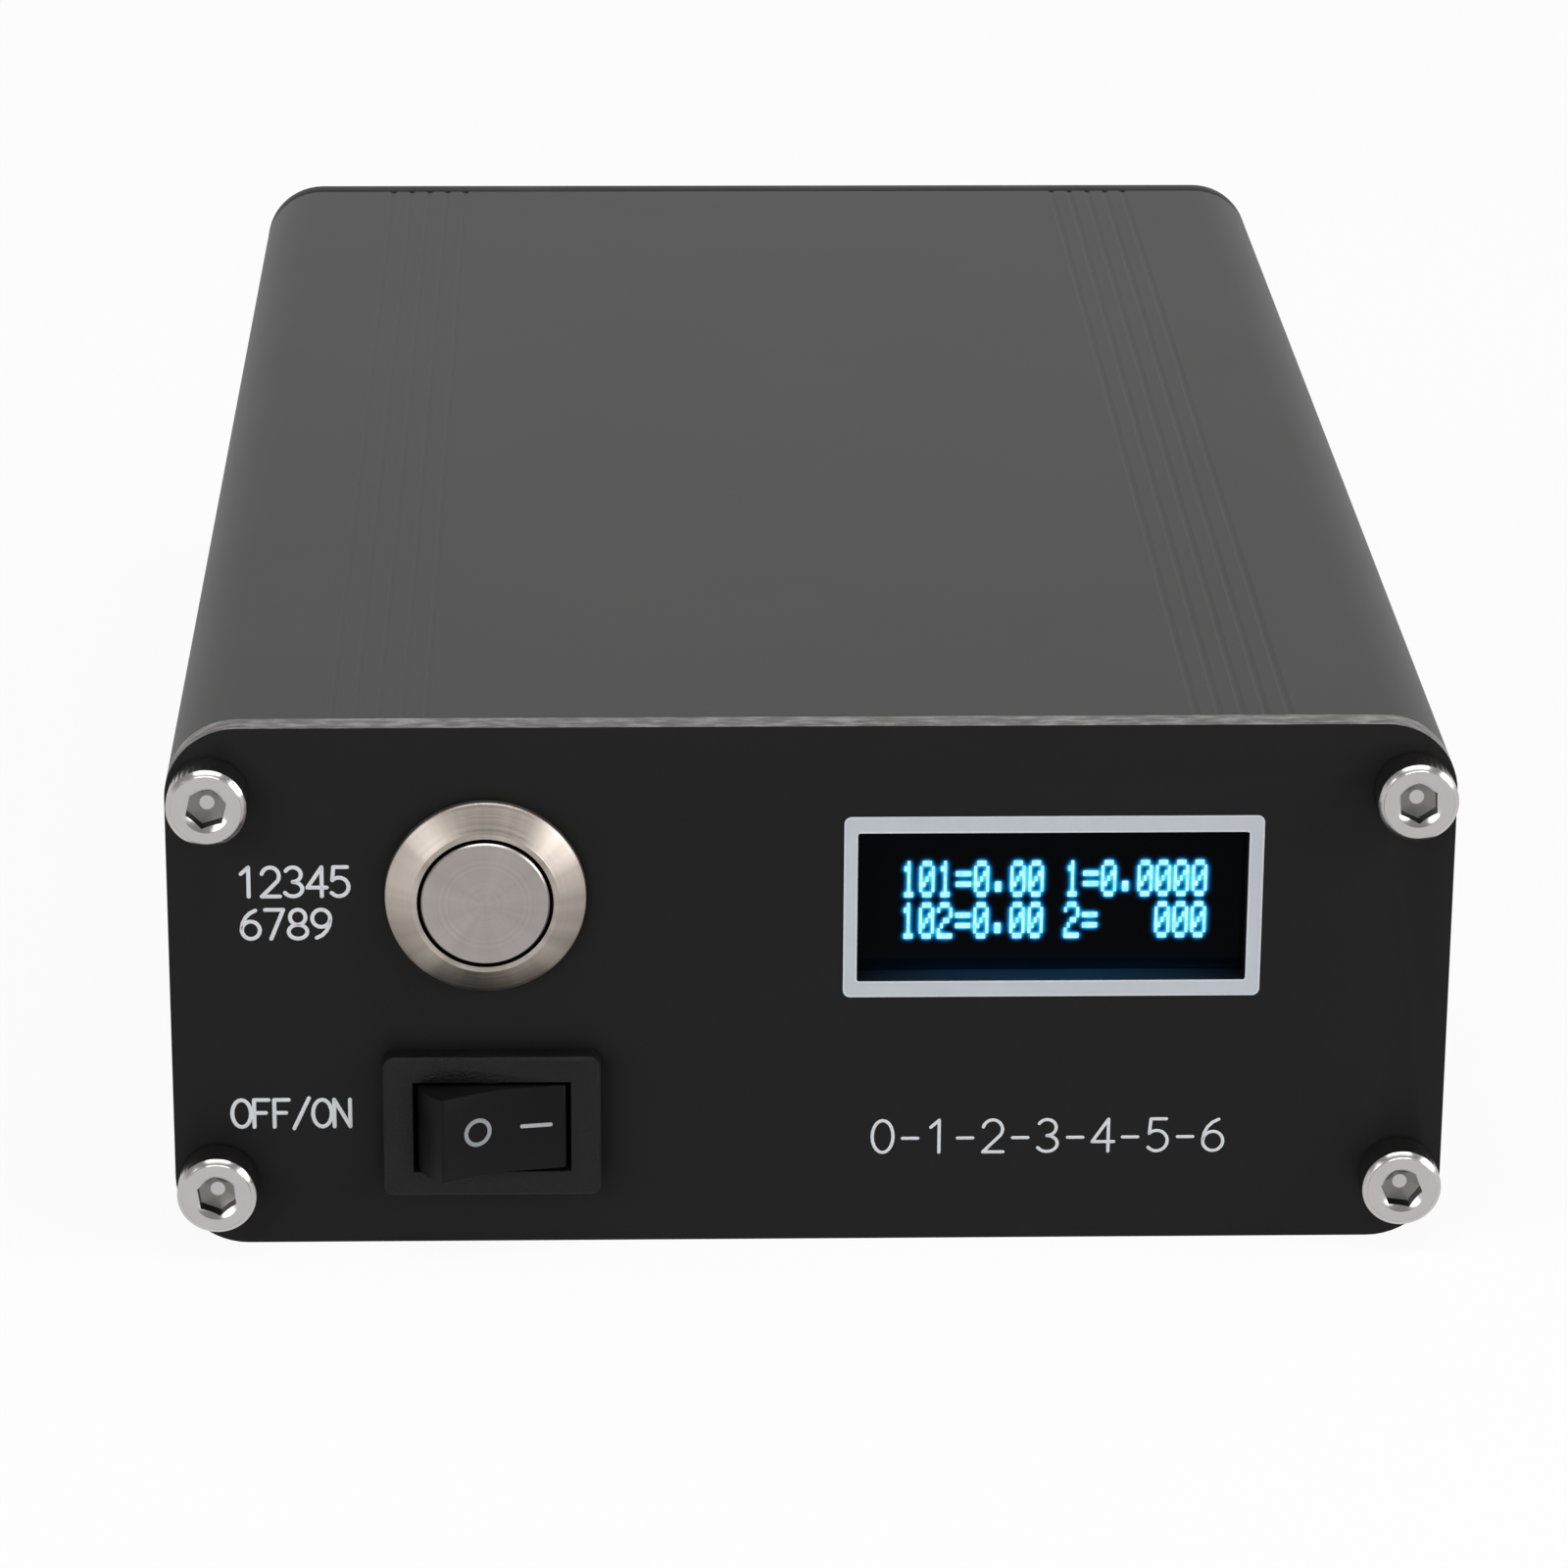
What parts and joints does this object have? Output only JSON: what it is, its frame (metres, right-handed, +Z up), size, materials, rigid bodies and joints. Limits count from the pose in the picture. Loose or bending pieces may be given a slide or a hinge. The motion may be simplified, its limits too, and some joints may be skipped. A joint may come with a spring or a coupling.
{
  "type": "automatic antenna tuner",
  "caption": "Automatic antenna tuner in a flat extruded case: lit display, metal push button and rocker switch in front, threaded coaxial sockets and power inlet behind.",
  "frame": {"origin": "middle of the case's underside", "axes": "+Z up, -Y out of the front panel, +X to the right seen from the front"},
  "size_m": [0.088, 0.163, 0.038],
  "materials": {
    "anodised_case": "sand-blasted dark grey anodise",
    "panel": "matt black lacquer on glass-fibre board",
    "nickel": "bright nickel plate",
    "stainless": "turned satin stainless steel",
    "moulded": "fine-grained black moulding",
    "seal_rubber": "matt",
    "display_glass": "black display glass with lit characters",
    "board": "green lacquered circuit board",
    "brass": "gold-plated",
    "insulator": "white fluoropolymer",
    "relay": "smooth moulding",
    "iron_core": "painted powder core",
    "ferrite": "dark sintered core",
    "copper": "enamelled copper",
    "blue_coat": "dipped epoxy",
    "can": "sleeved can",
    "foam": "adhesive foam",
    "lead": "soft insulated wire"
  },
  "bodies": {
    "case": {"upper_shell": "anodised_case", "lower_shell": "anodised_case", "front_panel": "panel", "rear_panel": "panel", "front_panel_screws": "nickel", "rear_panel_screws": "nickel", "button_housing": "stainless", "button_seal": "seal_rubber", "button_spring": "stainless", "button_base": "moulded", "button_terminals": "brass", "button_nut": "nickel", "switch_frame": "moulded", "switch_terminals": "brass", "display_glass": "display_glass", "display_board": "board", "display_pads": "foam", "display_plug": "moulded", "antenna_socket_shell": "nickel", "antenna_socket_insulator": "insulator", "antenna_socket_contact": "brass", "transmitter_socket_shell": "nickel", "transmitter_socket_insulator": "insulator", "transmitter_socket_contact": "brass", "socket_screws": "nickel", "socket_nuts": "nickel", "power_inlet_body": "moulded", "power_inlet_pin": "nickel", "power_inlet_nut": "nickel", "power_inlet_terminals": "brass", "main_board": "board", "inductor_relays": "relay", "capacitor_relays": "relay", "inductor_cores": "iron_core", "inductor_windings": "copper", "air_coils": "copper", "tuning_capacitors": "blue_coat", "meter_cores": "ferrite", "meter_windings": "copper", "microcontroller": "moulded", "voltage_regulator": "moulded", "smoothing_capacitors": "can", "board_headers": "insulator", "lead_plugs": "insulator", "display_leads": "lead", "button_leads": "lead", "switch_leads": "lead", "socket_leads": "nickel"},
    "button": {"button_cap": "stainless"},
    "rocker": {"switch_rocker": "moulded"}
  },
  "joints": [
    {"name": "button_press", "type": "slide", "parent": "case", "child": "button", "axis": [0, 1, 0], "range_m": [0, 0.0015], "stiffness_N_per_m": 600, "springref_m": -0.002, "deforming": ["button_spring"]},
    {"name": "rocker_tilt", "type": "hinge", "parent": "case", "child": "rocker", "pos_m": [-0.022, -0.07235, 0.0093], "axis": [0, 0, -1], "range_deg": [0, 36]}
  ]
}
